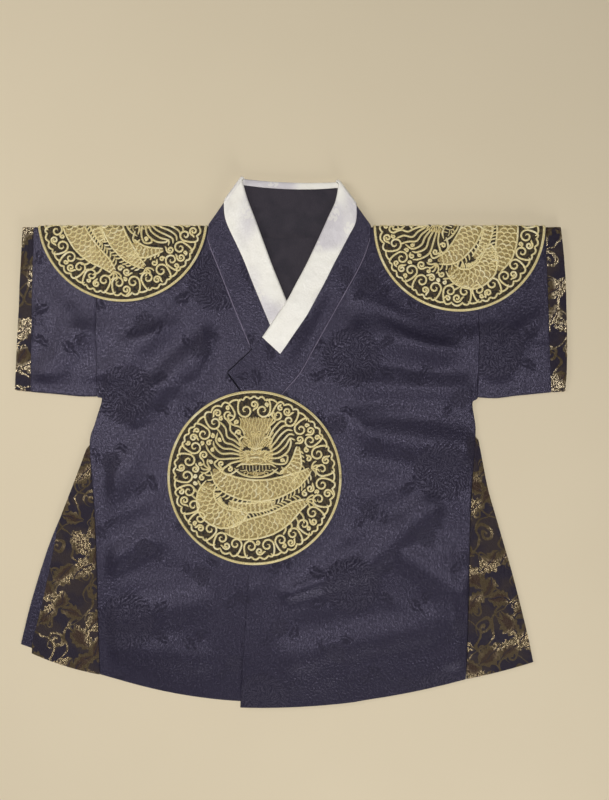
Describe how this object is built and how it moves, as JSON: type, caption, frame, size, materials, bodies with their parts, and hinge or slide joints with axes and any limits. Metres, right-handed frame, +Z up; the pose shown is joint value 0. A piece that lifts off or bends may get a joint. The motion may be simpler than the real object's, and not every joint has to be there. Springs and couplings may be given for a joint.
{
  "type": "child's hanbok overcoat laid flat",
  "caption": "Short-sleeved child's hanbok overcoat in navy damask satin, laid flat, with a crossed collar, white collar strip, brocade gores and cuffs and round gold patches",
  "frame": {"origin": "centre of the garment's outline on the surface it lies on, at the height of that surface", "axes": "+X to the wearer's left, +Y from the hem to the collar, +Z up out of the front"},
  "size_m": [0.4908, 0.471, 0.0101],
  "materials": {
    "satin": "navy satin with a tone-on-tone flower damask, soft sheen",
    "brocade": "navy brocade with gold leaf scrolls in foil thread",
    "lining": "plain dark lining, dull",
    "white_satin": "warm white satin, smooth",
    "embroidery": "gold thread embroidery on a near-black ground"
  },
  "bodies": {
    "root": {"back_left": "satin", "back_right": "satin", "gore_back_left": "satin", "gore_back_right": "satin", "back_lining": "lining", "front_right": "satin", "front_left": "satin", "gore_front_left": "brocade", "gore_front_right": "brocade", "sleeve_left": "satin", "sleeve_right": "satin", "cuff_left": "brocade", "cuff_right": "brocade", "collar": "satin", "dongjeong": "white_satin", "medallion_right": "embroidery", "medallion_left": "embroidery", "medallion_front": "embroidery"}
  },
  "joints": []
}
